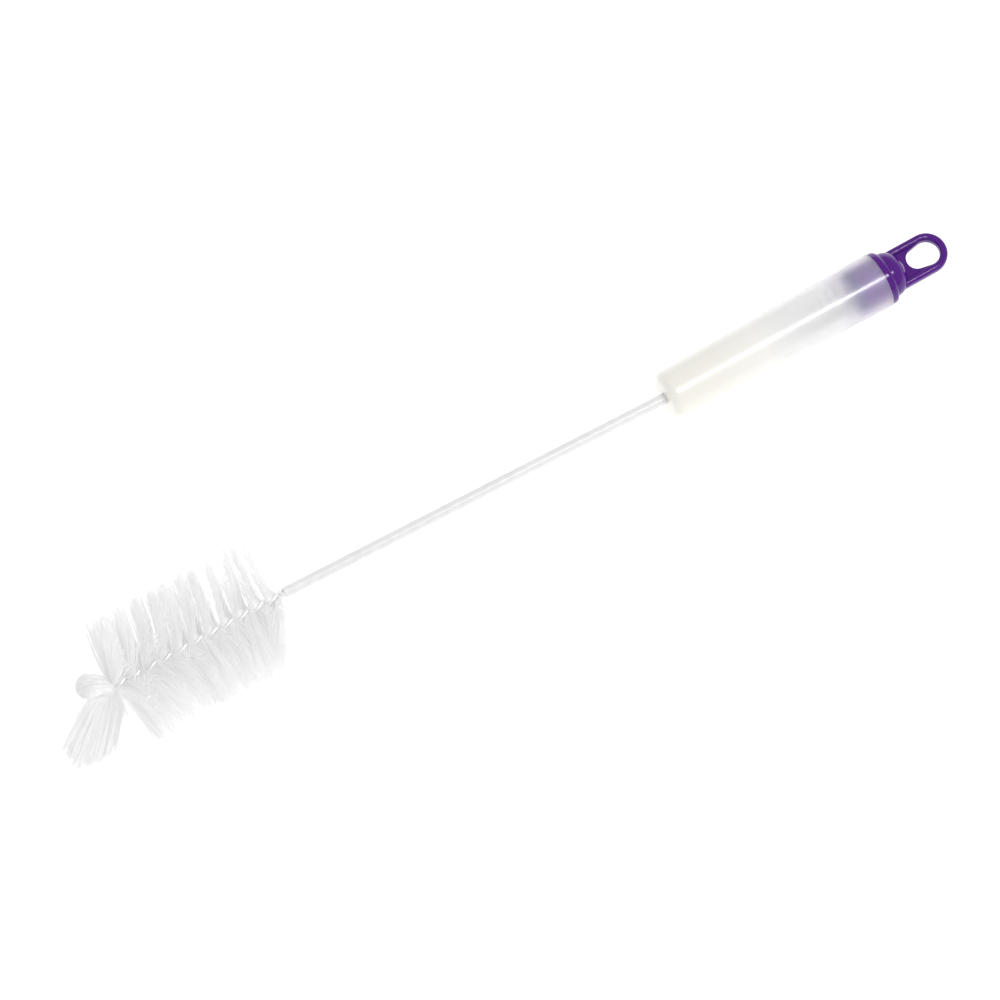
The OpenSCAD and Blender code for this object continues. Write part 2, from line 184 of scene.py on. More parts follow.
# millimetres from the stem end of the handle, wandering a little, and the noise it wanders with
def alongHandle(tree, wander):
    where = addNode(tree, "ShaderNodeTexCoord")
    fromStem = addNode(tree, "ShaderNodeMapping", {"vector_type": "TEXTURE"}, Vector=where.outputs["Object"])
    fromStem.inputs["Location"].default_value = handlePlace.to_translation()
    fromStem.inputs["Rotation"].default_value = handlePlace.to_euler()
    fromStem.inputs["Scale"].default_value = (mm, mm, mm)
    axis = addNode(tree, "ShaderNodeSeparateXYZ", i0=fromStem.outputs["Vector"])
    cloud = addNode(tree, "ShaderNodeTexNoise", {"Scale": 140, "Detail": 3}, Vector=where.outputs["Object"])
    moved = addNode(tree, "ShaderNodeMath", {"operation": "MULTIPLY_ADD"}, i0=cloud.outputs["Fac"])
    moved.inputs[1].default_value = wander
    tree.links.new(axis.outputs["X"], moved.inputs[2])
    return moved.outputs[0], cloud.outputs["Fac"]


def milkyPolypropylene(name):
    finish, tree, shader = newFinish(name, {"IOR": 1.49, "Coat Weight": 0.38, "Coat Roughness": 0.14,
                                            "Emission Strength": 0.035})
    shader.inputs["Emission Color"].default_value = (1, 1, 1, 1)    # painted glow, an emission standing in for light scattered inside the wall
    along, cloud = alongHandle(tree, milky["wander"])
    first, last = milky["clear"][0][0], milky["clear"][-1][0]
    share = addNode(tree, "ShaderNodeMapRange", {"From Min": first, "From Max": last}, i0=along)
    places = [((x - first) / (last - first), part) for x, part in milky["clear"]]
    # the last stop is the painted shade at the mouth
    hues = [(0, toLinear(milky["solid"])), (places[2][0], toLinear(milky["hollow"])),
            (places[3][0] - 0.08, toLinear(milky["hollow"])), (places[4][0], toLinear(milky["mouth"]))]
    hue = rampOf(tree, share.outputs[0], hues)
    tree.links.new(hue.outputs["Color"], shader.inputs["Base Color"])
    clear = rampOf(tree, share.outputs[0], [(x, grey(part)) for x, part in places])
    tree.links.new(clear.outputs["Color"], shader.inputs["Transmission Weight"])
    rough = addNode(tree, "ShaderNodeMapRange", {"To Min": 0.26, "To Max": 0.34}, i0=cloud)
    tree.links.new(rough.outputs[0], shader.inputs["Roughness"])
    bump = addNode(tree, "ShaderNodeBump", {"Strength": 0.05, "Distance": 0.0002}, Height=cloud)
    tree.links.new(bump.outputs["Normal"], shader.inputs["Normal"])
    return finish


# purple polypropylene, moulded and polished: deep colour, sharp small lights, faint flow marks,
# and a plug painted paler and bluish at its front, a painted veil of the milky wall over it
purple = {
    "body": ("#450472", "#51067E"),
    "plug": ("#706ABA", "#802EBC"),       # painted veil: front, rest
    "plugFrom": 84.0, "plugTo": 96.0,     # mm from the stem end of the handle
    "wander": 1.0,                        # mm, how far the edge between them wanders
}


def purplePolypropylene(name):
    finish, tree, shader = newFinish(name, {"IOR": 1.49, "Specular IOR Level": 0.36})
    where = addNode(tree, "ShaderNodeTexCoord")
    flow = addNode(tree, "ShaderNodeTexNoise", {"Scale": 120, "Detail": 4, "Distortion": 0.6},
                   Vector=where.outputs["Object"])
    body = rampOf(tree, flow.outputs["Fac"],
                  [(0.25, toLinear(purple["body"][0])), (0.75, toLinear(purple["body"][1]))])
    along, _ = alongHandle(tree, purple["wander"])
    share = addNode(tree, "ShaderNodeMapRange",
                    {"From Min": purple["plugFrom"], "From Max": purple["plugTo"]}, i0=along)
    # painted veil: the plug painted paler, and bluish at its front, as the milky wall makes it look
    plug = rampOf(tree, share.outputs[0],
                  [(0.1, toLinear(purple["plug"][0])), (0.2, toLinear(purple["plug"][1]))])
    # 1 on the plug inside the tube, where the painted veil goes, 0 on the flange and the dome
    inside = rampOf(tree, share.outputs[0], [(0.9, grey(1)), (0.93, grey(0))])
    hue = addNode(tree, "ShaderNodeMix", {"data_type": "RGBA"})
    tree.links.new(inside.outputs["Color"], hue.inputs["Factor"])
    tree.links.new(body.outputs["Color"], hue.inputs[6])
    tree.links.new(plug.outputs["Color"], hue.inputs[7])
    tree.links.new(hue.outputs[2], shader.inputs["Base Color"])
    rough = addNode(tree, "ShaderNodeMapRange", {"To Min": 0.11, "To Max": 0.16}, i0=flow.outputs["Fac"])
    tree.links.new(rough.outputs[0], shader.inputs["Roughness"])
    bump = addNode(tree, "ShaderNodeBump", {"Strength": 0.06, "Distance": 0.0002},
                   Height=flow.outputs["Fac"])
    tree.links.new(bump.outputs["Normal"], shader.inputs["Normal"])
    return finish


# the last number is each nylon's painted glow, an emission that lifts the shade inside the bundles
headNylon = nylonFilament("DrawnNylonWhite", "#EFEFEF", "#FAFAFA", 0.06)
tuftNylon = nylonFilament("DrawnNylonBundle", "#EFEFEF", "#FAFAFA", 0.06)
smallNylon = nylonFilament("DrawnNylonFine", "#E6E6E7", "#F3F3F4", 0.03)
wireSteel = drawnWire("BrightDrawnWire")
stemCoating = dippedCoating("DippedNylonCoating")
handlePlastic = milkyPolypropylene("MilkyPolypropylene")
capPlastic = purplePolypropylene("PurplePolypropylene")
print("materials ready")


# ---- the camera and the light ----

viewpoint = {
    "azimuth": -29.1213, "elevation": 72.0,                   # degrees
    "place": (-0.381269, -0.679568, 2.395487),                # metres
    "lens": 241.8907, "sensor": 36, "farthest": 50,
}

studio = {
    "worldLight": 0.74,
    "tableGlow": 0.58,
    "boxAim": (0.115, 0.0, 0.0),          # metres, the handle's place
    "boxWay": (0.259, -0.257, 0.931),     # from the handle to the softbox
    "boxFar": 1.1,
    "boxLong": 0.42, "boxWide": 0.16,     # the long side runs with the handle
    "boxWatt": 4.6,
    "floorSize": 6.0,
    # bounces: light goes deep into white bristles and milky walls
    "allBounces": 40, "matteBounces": 36, "glossBounces": 24, "clearBounces": 32,
}


# frosted acrylic top of a light table: white, matte, with an even glow from below
def lightTable(name):
    finish, tree, shader = newFinish(name, {"Roughness": 0.85})
    shader.inputs["Emission Color"].default_value = (1, 1, 1, 1)
    shader.inputs["Emission Strength"].default_value = studio["tableGlow"]
    where = addNode(tree, "ShaderNodeTexCoord")
    cloud = addNode(tree, "ShaderNodeTexNoise", {"Scale": 6, "Detail": 2}, Vector=where.outputs["Object"])
    hue = rampOf(tree, cloud.outputs["Fac"], [(0, toLinear("#E4E4E4")), (1, toLinear("#EAEAEA"))])
    tree.links.new(hue.outputs["Color"], shader.inputs["Base Color"])
    return finish


def setCamera():
    az, el = math.radians(viewpoint["azimuth"]), math.radians(viewpoint["elevation"])
    ahead = Vector((-math.sin(az) * math.cos(el), math.cos(az) * math.cos(el), -math.sin(el)))
    lens = bpy.data.cameras.new("camera")
    lens.lens = viewpoint["lens"]
    lens.sensor_width = viewpoint["sensor"]
    lens.clip_end = viewpoint["farthest"]
    camera = bpy.data.objects.new("camera", lens)
    bpy.context.scene.collection.objects.link(camera)
    camera.location = viewpoint["place"]
    camera.rotation_euler = ahead.to_track_quat("-Z", "Y").to_euler()
    bpy.context.scene.camera = camera


def setStudio():
    world = bpy.data.worlds.new("studio")
    bpy.context.scene.world = world
    world.use_nodes = True
    world.node_tree.nodes["Background"].inputs["Color"].default_value = (1, 1, 1, 1)
    world.node_tree.nodes["Background"].inputs["Strength"].default_value = studio["worldLight"]
    softbox = bpy.data.lights.new("softbox", "AREA")
    softbox.shape = "RECTANGLE"
    softbox.size = studio["boxLong"]
    softbox.size_y = studio["boxWide"]
    softbox.energy = studio["boxWatt"]
    light = bpy.data.objects.new("softbox", softbox)
    bpy.context.scene.collection.objects.link(light)
    way = Vector(studio["boxWay"]).normalized()
    light.location = Vector(studio["boxAim"]) + way * studio["boxFar"]
    along = Vector(handlePlace.col[0][:3])
    along = (along - along.dot(way) * way).normalized()
    light.rotation_euler = Matrix((along, way.cross(along), way)).transposed().to_euler()
    deselectAll()
    bpy.ops.mesh.primitive_plane_add(size=studio["floorSize"], location=(0, 0, 0))
    floor = bpy.context.object
    floor.name = "floor"
    floor.data.materials.append(lightTable("FrostedAcrylic"))
    bpy.context.scene.view_settings.view_transform = "Standard"
    cycles = bpy.context.scene.cycles
    cycles.max_bounces = studio["allBounces"]
    cycles.diffuse_bounces = studio["matteBounces"]
    cycles.glossy_bounces = studio["glossBounces"]
    cycles.transmission_bounces = studio["clearBounces"]


setCamera()
setStudio()
print("camera, light and floor set")


# ---- twisted wires ----

# angle of a strand u mm into the twist, which starts softly over the length of lead
def twistAngle(u, pitch, lead):
    if u < 0:
        return 0.0
    return -2 * math.pi / pitch * (u * u / lead / 2 if u < lead else u - lead / 2)


def strandLine(size, first):
    long = size["end"] - size["start"]
    count = int(long / size["pitch"] * size["perTurn"])
    r = (size["wire"] + size["gap"]) / 2
    line = []
    for i in range(count + 1):
        u = long * i / count
        a = first + twistAngle(u, size["pitch"], size["lead"])
        line.append(Vector((size["start"] + u, r * math.cos(a), r * math.sin(a))))
    return line


def eyeLine(size, first):
    r = size["eye"]
    bendAngle = math.radians(size["eyeBend"])
    centre = size["start"] - r * (1 + math.sin(bendAngle)) * size["neck"]
    line = []
    for i in range(size["eyeSteps"] + 1):
        a = bendAngle * (1 - 2 * i / size["eyeSteps"])
        side = r * math.sin(a)
        line.append(Vector((centre - r * math.cos(a), side * math.cos(first), side * math.sin(first))))
    return line


# one steel wire folded over: along one strand, round the eye and back along the other
def foldedWire(name, size, headTurnAt=None):
    first = math.radians(size["first"])
    there = strandLine(size, first)
    back = strandLine(size, first + math.pi)
    line = list(reversed(there)) + eyeLine(size, first) + back
    if headTurnAt is not None:          # the wire bends where the head begins
        bend = Matrix.Translation((headTurnAt, 0, 0))
        bend = bend @ Matrix.Rotation(math.radians(layDown["turn"]), 4, "Z")
        bend = bend @ Matrix.Translation((-headTurnAt, 0, 0))
        line = [bend @ p if p.x < headTurnAt else p for p in line]
    curve = bpy.data.curves.new(name, "CURVE")
    curve.dimensions = "3D"
    spline = curve.splines.new("BEZIER")
    spline.bezier_points.add(len(line) - 1)
    for point, at in zip(spline.bezier_points, line):
        point.co = at * mm
        point.handle_left_type = "AUTO"
        point.handle_right_type = "AUTO"
    curve.resolution_u = size["smooth"]
    curve.bevel_depth = size["wire"] / 2 * mm
    curve.bevel_resolution = size["round"]
    curve.use_fill_caps = True
    wire = bpy.data.objects.new(name, curve)
    bpy.context.scene.collection.objects.link(wire)
    pickOnly(wire)
    bpy.ops.object.convert(target="MESH")
    bpy.ops.object.mode_set(mode="EDIT")
    bpy.ops.mesh.select_all(action="SELECT")
    bpy.ops.mesh.remove_doubles(threshold=0.00001)
    bpy.ops.mesh.normals_make_consistent(inside=False)
    bpy.ops.object.mode_set(mode="OBJECT")
    bpy.ops.object.shade_smooth_by_angle(angle=math.radians(40))
    wire.data.materials.clear()
    wire.data.materials.append(wireSteel)
    return wire


# sizes in millimetres, angles in degrees; first is the angle round the wire at which it starts
stemWire = {
    "wire": 1.4, "gap": 0.5, "pitch": 13.0, "lead": 2.0, "perTurn": 12,
    "eye": 2.4, "neck": 0.6, "eyeBend": 130, "eyeSteps": 12, "smooth": 2, "round": 3,
    "start": -234.0, "end": 24.0, "first": -34.0,
}
longWire = foldedWire("stem_wire_drawn", stemWire, layDown["headStart"])
carryBy(longWire, stemPlace, "brush", "wire", "stem_wire")
print("stem wire twisted")

smallWire = {
    "wire": 0.7, "gap": 0.34, "pitch": 7.6, "lead": 2.0, "perTurn": 12,
    "eye": 0.87, "neck": 0.6, "eyeBend": 130, "eyeSteps": 10, "smooth": 2, "round": 2,
    "start": 29.1418, "end": 91.5, "first": 0.0,
}
shortWire = foldedWire("small_wire_drawn", smallWire)
carryBy(shortWire, handlePlace, "small_brush", "wire", "small_brush_wire")
print("small brush wire twisted")


# ---- the coated stem ----

coat = {
    "from": -162.0, "to": 10.0,
    "wide": 4.24, "narrow": 4.14,                # across the oval
    "twistPitch": 13.0, "sides": 40, "rings": 430,
    "edge": 0.35, "edgeDepth": 0.21,             # the rounded rim at both ends
}


# an oval drawn along the stem while it turns, so the twisted wire shows through the coating
def coatedStem():
    deselectAll()
    bpy.ops.mesh.primitive_circle_add(vertices=coat["sides"], radius=coat["wide"] / 2 * mm,
                                      fill_type="NOTHING")
    stem = bpy.context.object
    stem.name = "stem_coating"
    bpy.ops.object.mode_set(mode="EDIT")
    bpy.ops.transform.resize(value=(1, coat["narrow"] / coat["wide"], 1))
    bpy.ops.object.mode_set(mode="OBJECT")
    length = coat["to"] - coat["from"]
    drawn = stem.modifiers.new("drawn", "SCREW")
    drawn.axis = "Z"
    drawn.angle = -2 * math.pi * length / coat["twistPitch"]
    drawn.screw_offset = length * mm
    drawn.steps = coat["rings"]
    drawn.render_steps = coat["rings"]
    drawn.use_normal_calculate = True
    pickOnly(stem)
    bpy.ops.object.modifier_apply(modifier="drawn")
    bpy.ops.object.mode_set(mode="EDIT")
    bpy.ops.mesh.select_all(action="SELECT")
    bpy.ops.mesh.remove_doubles(threshold=0.000001)
    bpy.ops.mesh.select_all(action="DESELECT")
    bpy.ops.mesh.select_mode(type="EDGE")
    bpy.ops.mesh.select_non_manifold(extend=False, use_wire=False, use_boundary=True,
                                     use_multi_face=False, use_non_contiguous=False, use_verts=False)
    bpy.ops.mesh.edge_face_add()
    bpy.ops.mesh.select_all(action="DESELECT")
    bpy.ops.object.mode_set(mode="OBJECT")
    for face in stem.data.polygons:
        if len(face.vertices) > 4:
            face.select = True
    bpy.ops.object.mode_set(mode="EDIT")
    bpy.ops.mesh.select_mode(type="FACE")
    bpy.ops.mesh.inset(thickness=coat["edge"] * mm, depth=coat["edgeDepth"] * mm)
    bpy.ops.mesh.select_all(action="SELECT")
    bpy.ops.mesh.normals_make_consistent(inside=False)
    bpy.ops.object.mode_set(mode="OBJECT")
    flat = Matrix.Translation((coat["from"] * mm, 0, 0)) @ Matrix.Rotation(math.radians(90), 4, "Y")
    stem.data.transform(flat)
    bpy.ops.object.shade_smooth_by_angle(angle=math.radians(35))
    stem.data.materials.append(stemCoating)
    return stem


carryBy(coatedStem(), stemPlace, "brush", "sleeve", "stem_sleeve")
print("stem coated")


# ---- filaments ----

filament = {
    "tip": 0.75,                 # share of the thickness that is left at the tip
    "overFloor": 0.25,           # mm from the floor up to the middle of a hair that lies on it
}


# one straight filament, one long: a three-sided bar extruded in steps, tapered at its tip
def filamentBlank(steps):
    deselectAll()
    bpy.ops.mesh.primitive_circle_add(vertices=3, radius=1, fill_type="NGON")
    blank = bpy.context.object
    blank.name = "filament_blank"
    bpy.ops.object.mode_set(mode="EDIT")
    for i in range(steps):
        bpy.ops.mesh.select_all(action="DESELECT")
        bpy.ops.object.mode_set(mode="OBJECT")
        top = max(f.center.z for f in blank.data.polygons)
        for f in blank.data.polygons:
            f.select = len(f.vertices) == 3 and abs(f.center.z - top) < 1e-6
        bpy.ops.object.mode_set(mode="EDIT")
        bpy.ops.mesh.select_mode(type="FACE")
        bpy.ops.mesh.extrude_region_move(TRANSFORM_OT_translate={"value": (0, 0, 1 / steps)})
        if i == steps - 1:
            bpy.ops.transform.resize(value=(filament["tip"], filament["tip"], 1))
    bpy.ops.mesh.select_all(action="SELECT")
    bpy.ops.mesh.normals_make_consistent(inside=False)
    bpy.ops.object.mode_set(mode="OBJECT")
    co = np.array([v.co for v in blank.data.vertices])
    level = np.rint(co[:, 2] * steps).astype(int)
    faces = [tuple(f.vertices) for f in blank.data.polygons]
    faces = [f for f in faces if not (len(f) == 3 and all(level[i] == 0 for i in f))]
    bpy.data.objects.remove(blank)
    return {"level": level, "side": co[:, :2].copy(), "faces": faces}


def unitRows(v):
    return v / np.linalg.norm(v, axis=-1, keepdims=True)


# copies of the blank along the given paths (n, steps + 1, 3), in millimetres, as one piece
def growFilaments(name, blank, paths, thick, tone, finish):
    ahead = np.zeros_like(paths)
    ahead[:, 1:-1] = paths[:, 2:] - paths[:, :-2]
    ahead[:, 0] = paths[:, 1] - paths[:, 0]
    ahead[:, -1] = paths[:, -1] - paths[:, -2]
    ahead = unitRows(ahead)
    mean = ahead.mean(1)
    other = np.where(np.abs(mean[:, :1]) < 0.8, np.array([[1.0, 0, 0]]), np.array([[0, 0, 1.0]]))
    side = unitRows(np.cross(mean, other))[:, None, :]
    side = unitRows(side - (ahead * side).sum(2, keepdims=True) * ahead)
    top = np.cross(ahead, side)
    level = blank["level"]
    u = blank["side"][:, 0][None, :, None]
    v = blank["side"][:, 1][None, :, None]
    points = paths[:, level] + thick / 2 * (u * side[:, level] + v * top[:, level])
    faces = []
    for i in range(len(paths)):
        faces.extend(tuple(corner + i * len(level) for corner in face) for face in blank["faces"])
    mesh = bpy.data.meshes.new(name)
    mesh.from_pydata((points.reshape(-1, 3) * mm).tolist(), [], faces)
    toneLayer = mesh.attributes.new("tone", "FLOAT", "POINT")
    toneLayer.data.foreach_set("value", np.repeat(tone, len(level)).astype(np.float32))
    mesh.materials.append(finish)
    piece = bpy.data.objects.new(name, mesh)
    bpy.context.scene.collection.objects.link(piece)
    return piece


# lifts what would lie under the floor
def pressToFloor(paths, place):
    m = np.array(place)
    low = paths @ m[2, :3] + m[2, 3] / mm       # height over the floor, in millimetres
    lift = np.maximum(0, filament["overFloor"] - low)
    up = m[2, :3] / np.linalg.norm(m[2, :3])
    return paths + lift[:, :, None] * up


# shade of each hair between the two colours of its nylon
def hairTones(rng, count, blur):
    return np.clip(0.5 + rng.normal(0, blur, count), 0, 1)


# value at each share, read between the knots of a table
def between(share, table):
    return np.interp(share, *zip(*table))


# ---- the head ----

# Tables go along the head: 0 is at the eye and 1 at the stem. "up" is the side that leans to the
# handle, "down" the one across from it. Lengths are in millimetres and angles in degrees.
head = {
    "seed": 5,
    "start": -236.2, "end": -162.9,
    "twistFrom": -234.0,         # from the tip up to here the strands run side by side
    "pitch": 13.0, "lead": 2.0, "first": 56.0,
    "filaments": 4900,           # each gives two hairs
    "crowd": 300,                # more of them at the eye, where they splay
    "splay": 30, "splayPast": 0.8,                  # the splay ends this far into the twist
    "thick": 0.22, "steps": 5,
    "rootBlur": 0.12,            # how far a root lies from the middle of the wire
    "upAngle": 15.8,             # angle round the wire of the upper side
    "reach": 25.4, "trim": 26.1,
    "upReach": [(0, 27.6), (0.38, 28.4), (0.5, 28), (0.7, 27.4), (0.9, 26), (1, 22)],
    "downReach": [(0, 17), (0.05, 27.2), (0.17, 27.2), (0.21, 24.2), (0.45, 24.6), (0.56, 26), (1, 26)],
    "uneven": 0.04, "unevenUp": 0.15,               # share that the shortest hairs lack
    "fewShort": 1.7,             # higher where fewer hairs are short
    "upLean": [(0, 10), (0.06, 15), (0.5, 13), (0.8, 11), (0.92, 3), (1, -5)],
    "downLean": [(0, 8), (0.1, 5), (0.3, -2), (0.65, -10), (0.85, -17), (0.95, -23), (1, -27)],
    "leanBlur": 1.2, "leanBlurDown": 2,
    "leanEarly": 0.25,           # share by which an upper hair leans more near its root
    "strays": 0.015, "strayLean": 8,                # share of the hairs, and how far they lean off
    "blur": [(0, 1.7), (0.5, 1.5), (0.7, 0.8), (1, 0.4)],         # hairs beside their row
    "blurDown": 0.3, "blurTip": 0.3,                # share of it below, share lost at the tip
    "upSpin": [(0, 21), (0.3, 20), (0.5, 14), (0.64, 6), (1, 3)],      # hairs turned out of the row
    "downSpin": 20,
    "rowLean": 1.2, "rowReach": 0.03,               # how far one row differs from the next
    "clump": 1.5,                # length of wire whose hairs share a tip
    "clumpOff": 0.35, "clumpPull": 0.5, "clumpPullMore": 0.4,
    "clumpWaves": (12.9898, 4.31),                  # make each clump's tip and pull its own
    "clumpTurn": 7, "clumpLean": 2.3, "clumpReach": 0.03,         # how far one differs from the next
    "upKeep": [(0, 1), (0.5, 1), (0.7, 0.62), (0.85, 0.42), (1, 0.34)],       # share of hairs
    "downKeep": [(0, 0.08), (0.045, 0.12), (0.055, 1), (1, 1)],               # bare beside the eye
    "upKeepFrom": 0.6, "downKeepFrom": 0.4,         # how far round the tables of shares reach
    "parting": 105.8,            # angle round the wire where the hairs lie apart
    "partWide": 24, "partShare": 0.6,               # the share of hairs that is gone there
    "partPush": [(0, 8), (0.3, 14), (0.6, 20), (1, 20)],          # hairs turned away from it
    "partCalm": 70, "partCalmest": 0.35,            # nearer than this they keep to their rows
    "toneBlur": 0.22,
}


# angle round the wire at which the twist holds the hairs
def headTwist(x, flip):
    lead = head["twistFrom"] - head["start"]
    turns = np.array([twistAngle(v - lead, head["pitch"], head["lead"]) for v in x])
    return turns + math.radians(head["first"]) + flip


# where hairs start along the wire; each filament gives one to either side. up is 1 on the upper
# side and 0 on the lower one, and down the other way round
def headRoots(rng):
    span = head["end"] - head["start"]
    splayTo = head["twistFrom"] - head["start"] + head["splayPast"]
    x = np.concatenate([rng.random(head["filaments"]) * span, rng.random(head["crowd"]) * splayTo])
    flip = np.repeat([0.0, math.pi], len(x))
    x = np.concatenate([x, x])
    splay = np.where(x < splayTo, np.radians(rng.normal(0, head["splay"], len(x))), 0)
    up = (1 + np.cos(headTwist(x, flip) + splay - math.radians(head["upAngle"]))) / 2
    return {"x": x, "share": x / span, "flip": flip, "splay": splay, "up": up, "down": 1 - up}


# how long the hairs are, how far they lean along the wire and turn round it
def headStyle(rng, hair):
    x, share, up, down = hair["x"], hair["share"], hair["up"], hair["down"]
    count = len(x)
    lean = up * between(share, head["upLean"]) + down * between(share, head["downLean"])
    lean = lean + rng.normal(0, head["leanBlur"], count)
    lean = np.radians(lean + down * rng.normal(0, head["leanBlurDown"], count))
    reach = head["reach"] + np.clip(2 * up - 1, 0, 1) * (between(share, head["upReach"]) - head["reach"])
    reach = reach + np.clip(1 - 2 * up, 0, 1) * (between(share, head["downReach"]) - head["reach"])
    kept = 1 - (head["uneven"] + head["unevenUp"] * up) * rng.random(count) ** head["fewShort"]

    half = (hair["flip"] > 0).astype(int)
    row = np.floor(2 * (x - hair["flip"] / math.pi * head["pitch"] / 2) / head["pitch"]).astype(int)
    clump = np.floor(x / head["clump"]).astype(int)
    clumpAgain = clump + 90                         # draws of the same table that are still unused
    vary = rng.normal(0, 1, (3, 2, 200))
    lean = lean + np.radians(down * head["clumpLean"] * vary[0, half, clump])
    lean = lean + np.radians(up * head["rowLean"] * vary[1, half, row])
    reach = reach * (1 + down * head["clumpReach"] * vary[1, half, clumpAgain])
    reach = reach * (1 + up * head["rowReach"] * vary[2, half, row])
    hair["reach"] = np.minimum(reach, head["trim"]) * kept        # the whole head was trimmed round
    turn = np.radians(down * head["clumpTurn"] * vary[2, half, clumpAgain])
    tipWave, pullWave = head["clumpWaves"]
    middle = (clump + 0.5 + head["clumpOff"] * np.sin(clump * tipWave)) * head["clump"]
    pull = head["clumpPull"] + head["clumpPullMore"] * np.sin(clump * pullWave) ** 2
    hair["pull"] = pull * (middle - x)

    stray = rng.random(count) < head["strays"]
    hair["lean"] = np.where(stray, lean + np.radians(rng.normal(0, head["strayLean"], count)), lean)
    spin = up * between(share, head["upSpin"]) + down * head["downSpin"]
    hair["spread"] = hair["splay"] + turn + np.radians(spin * rng.normal(0, 1, count))
    inRow = head["blurDown"] + (1 - head["blurDown"]) * up
    hair["beside"] = between(share, head["blur"]) * inRow * rng.normal(0, 1, count)
    hair["rootOff"] = rng.normal(0, head["rootBlur"], (count, 3))


# degrees round the wire from the parting, where some hairs are gone and the rest lie apart
def fromParting(hair, x):
    off = np.degrees(headTwist(x, hair["flip"]) + hair["spread"]) - head["parting"]
    return (off + 180) % 360 - 180


def headPaths(hair):
    steps = head["steps"]
    offRoot = fromParting(hair, hair["x"])
    push = np.sign(offRoot) * between(hair["share"], head["partPush"])
    beside = hair["beside"] * np.clip(np.abs(offRoot) / head["partCalm"], head["partCalmest"], 1)
    paths = np.zeros((len(push), steps + 1, 3))
    for k in range(steps + 1):
        t = k / steps
        along = hair["x"] + hair["pull"] * t * t
        off = fromParting(hair, along)
        off = off + push * (1 - np.abs(off) / 180)
        angle = np.radians(off + head["parting"])
        r = hair["reach"] * t
        out = np.stack([np.zeros(len(r)), np.cos(angle), np.sin(angle)], 1)
        paths[:, k] = out * r[:, None] + hair["rootOff"] * (1 - t)
        early = 1 + head["leanEarly"] * (1 - t) * hair["up"]
        paths[:, k, 0] += head["start"] + along + np.tan(hair["lean"]) * r * early
        paths[:, k, 0] += beside * (1 - (1 - t) ** 2) * (1 - head["blurTip"] * t)
    return pressToFloor(paths, headPlace)


# which hairs stay
def headKept(rng, hair):
    share, count = hair["share"], len(hair["x"])
    above = np.clip(2 * hair["up"] - head["upKeepFrom"], 0, 1)
    below = np.clip(2 * hair["down"] - head["downKeepFrom"], 0, 1)
    keep = rng.random(count) < 1 - (1 - between(share, head["upKeep"])) * above
    keep &= rng.random(count) < 1 - (1 - between(share, head["downKeep"])) * below
    gone = head["partShare"] * np.exp(-(fromParting(hair, hair["x"]) / head["partWide"]) ** 2)
    return keep & (rng.random(count) > gone)


# hairs held between the strands: they leave the wire on both sides, and each follows the twist
def growHead():
    rng = np.random.default_rng(head["seed"])
    hair = headRoots(rng)
    headStyle(rng, hair)
    paths = headPaths(hair)
    keep = headKept(rng, hair)
    tone = hairTones(rng, len(paths), head["toneBlur"])
    blank = filamentBlank(head["steps"])
    upper = hair["up"] > 0.5
    pieces = []
    for name, side in (("head_filaments_one_side", upper), ("head_filaments_other_side", ~upper)):
        mine = keep & side
        pieces.append(growFilaments(name, blank, paths[mine], head["thick"], tone[mine], headNylon))
    return pieces


for piece in growHead():
    carryBy(piece, headPlace, "brush", "bristles", "head_bristles")
print("head grown")


# ---- the end tuft ----

# a bundle pulled through the eye: one half compact with a round end, the other an open flat fan
tuft = {
    "seed": 11,
    "eye": (-236.54, 0.0, 0.0),
    "axis": 56.0,                # degrees, the eye's own axis in the plane across the wire
    "filaments": 1500,
    "thick": 0.22, "steps": 6,
    "neck": 1.5,                 # radius of the bundle in the eye
    "bow": 0.25,                 # share of the length by which both halves leave along the axis
    "aside": 1.1,                # the compact half leaves the eye's tip free
    "upAim": (-0.60, 0.16, 0.78), "upLength": 12.3, "upStraight": 0.5,
    "stalk": 3.4, "ball": 5.0,   # radius beside the eye and at the round end
    "stalkSoon": 6,              # higher where the bundle widens sooner
    "downAim": (-0.66, -0.54, -0.48), "downLength": 24.0, "downStraight": 0.5,
    "fan": 19.0, "fanThick": 4.4, "fanSide": (0.82, -0.57, -0.04),
    "fanOpen": 0.6, "fanSoon": 7,                   # share of its width that the fan has at once
    "fanBow": 6.0,               # its middle bows this far to one side
    "clumps": 22, "clumpOff": 0.03, "hairOff": 0.04, "flatOff": 0.33,         # shares of the fan
    "fanRound": 0.26, "fanRoundWide": 1.5,          # longer hairs in the middle of the fan
    "clumpUneven": 0.045, "uneven": 0.14,
    "toneBlur": 0.2,
}


# across: each hair's place in the round bundle, first in the eye, then at the end of its half
def compactHalf(t, eye, axis, across, inEye, edge):
    upAim = unitRows(np.array(tuft["upAim"]))
    sideways = np.cross(axis, np.array([1.0, 0, 0]))
    ballSide = unitRows(np.cross(sideways, upAim))
    inBall = across[0][:, None] * ballSide + across[1][:, None] * np.cross(upAim, ballSide)
    dome = np.sqrt(np.maximum(0, 1 - edge * edge))
    long = tuft["upLength"]
    paths = np.zeros((len(edge), len(t), 3))
    for k, tk in enumerate(t):
        middle = eye + 2 * tk * (1 - tk) * tuft["bow"] * long * axis \
            + tk * tk * long * upAim + tk * (1 - tk) * tuft["upStraight"] * long * upAim
        middle = middle - tuft["aside"] * (1 - tk) ** 2 * sideways
        wide = tuft["neck"] + (tuft["stalk"] - tuft["neck"]) * (1 - (1 - tk) ** tuft["stalkSoon"]) \
            + (tuft["ball"] - tuft["stalk"]) * max(0, tk * 1.5 - 0.5)
        spread = inEye * (1 - tk) + inBall * tk
        paths[:, k] = middle + spread * wide + upAim * (dome * tuft["ball"] * tk ** 3)[:, None]
    return paths


